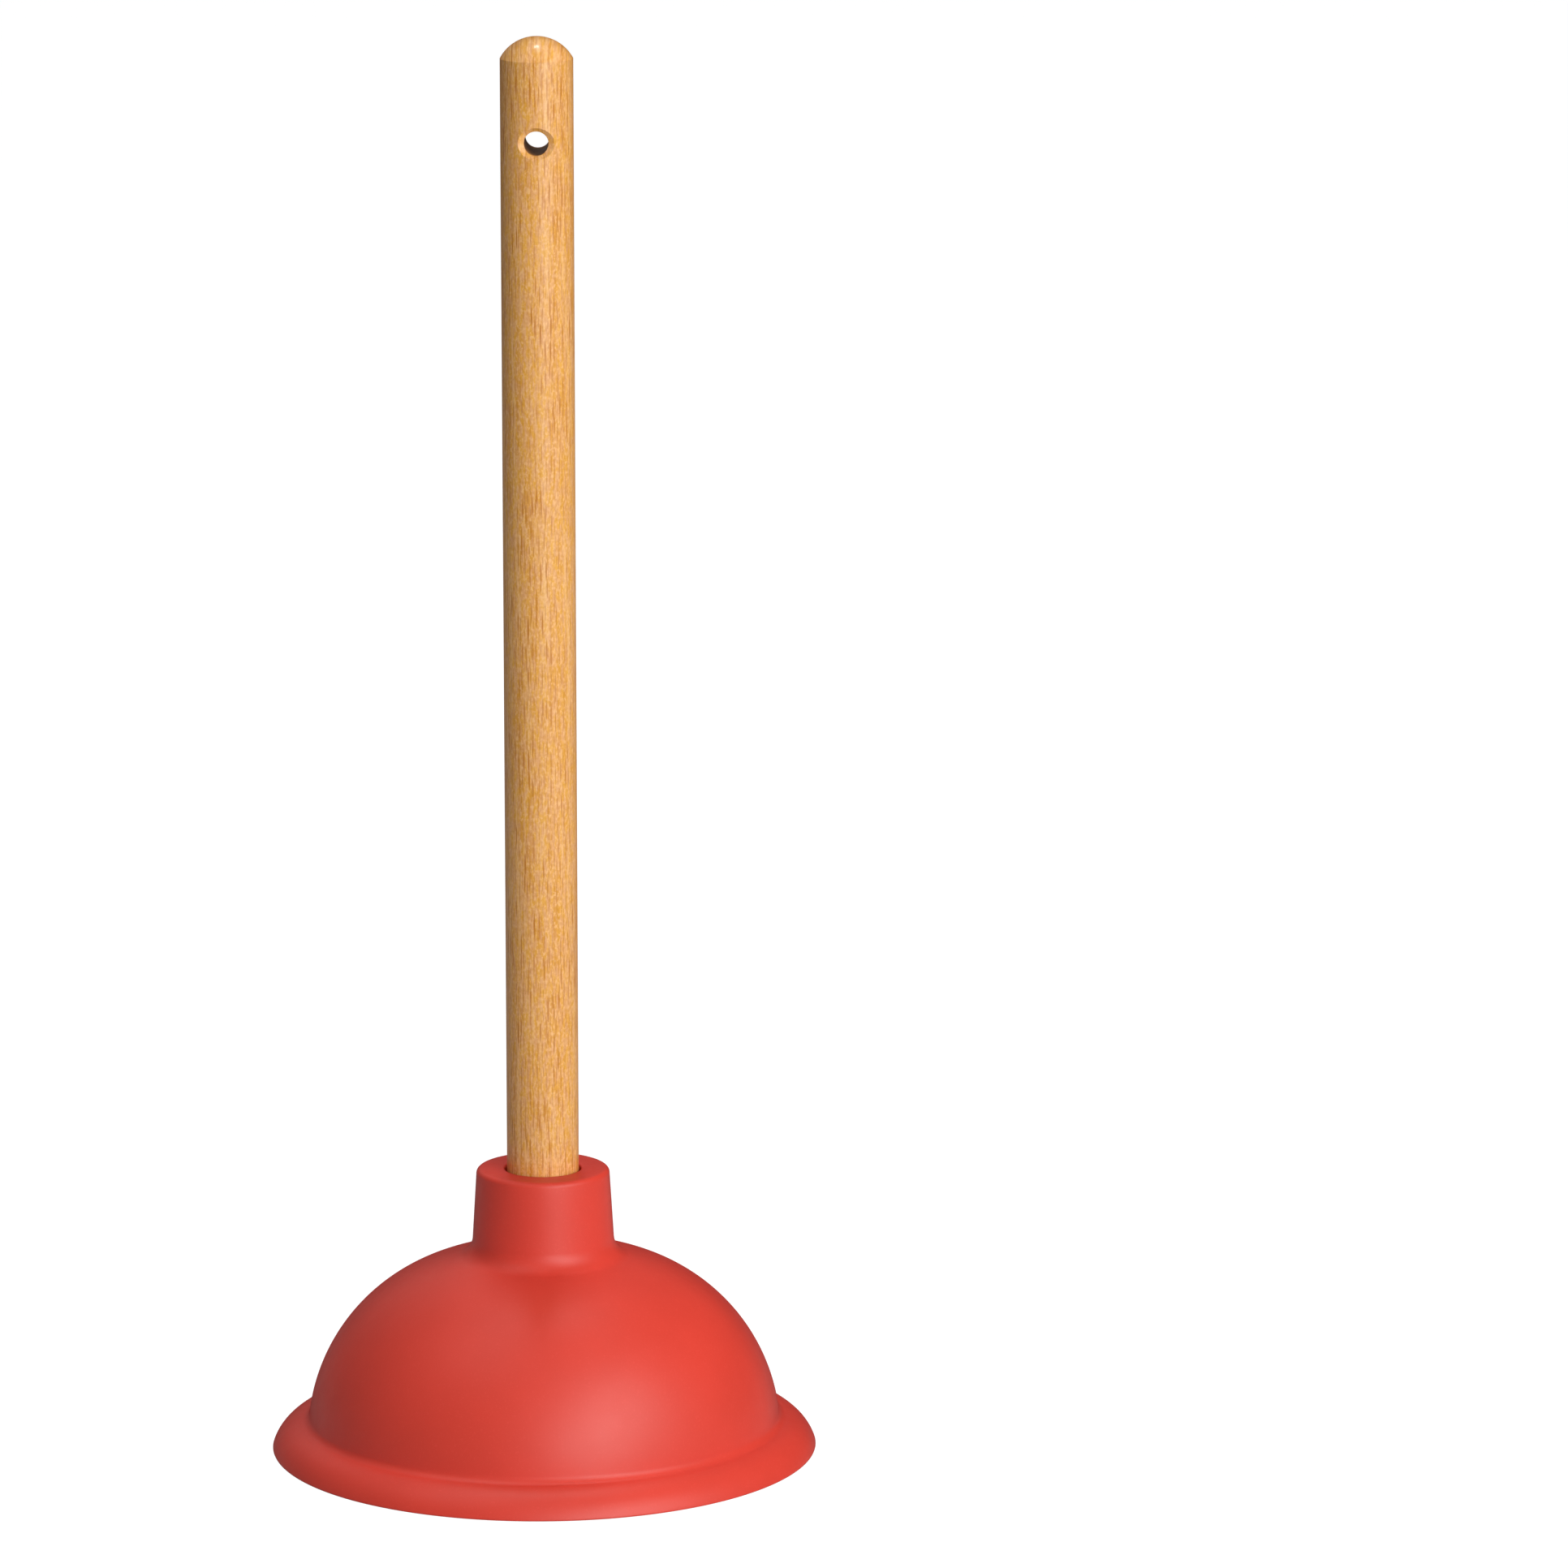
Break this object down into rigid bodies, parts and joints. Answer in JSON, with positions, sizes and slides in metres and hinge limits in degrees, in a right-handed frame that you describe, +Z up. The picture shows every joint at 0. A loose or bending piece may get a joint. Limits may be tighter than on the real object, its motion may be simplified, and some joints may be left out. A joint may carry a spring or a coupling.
{
  "type": "toilet plunger",
  "caption": "Force-cup toilet plunger: a flexible rubber bell with a rolled rim, screwed to the end of a round wooden dowel handle with a hanging hole.",
  "frame": {"origin": "on the axis of the cup and handle, in the plane of the cup's rim, where the plunger stands on a floor", "axes": "+Z up the handle; the hanging hole runs through the handle along Y, and -Y is the side the hole is seen from"},
  "size_m": [0.1524, 0.1524, 0.3965],
  "materials": {
    "red_rubber": "satin moulded rubber",
    "hardwood": "sanded and clear lacquered",
    "plated_steel": "zinc plated"
  },
  "bodies": {
    "cup": {"rubber_cup": "red_rubber"},
    "washer": {"washer": "plated_steel"},
    "handle": {"handle": "hardwood", "retaining_screw": "plated_steel"}
  },
  "joints": [
    {"name": "plunge_stroke", "type": "slide", "parent": "cup", "child": "washer", "axis": [0, 0, 1], "range_m": [-0.03, 0], "stiffness_N_per_m": 1500, "deforming": ["rubber_cup"]},
    {"name": "handle_twist", "type": "hinge", "parent": "washer", "child": "handle", "pos_m": [0, 0, 0.0565], "axis": [0, 0, 1], "continuous": true}
  ]
}
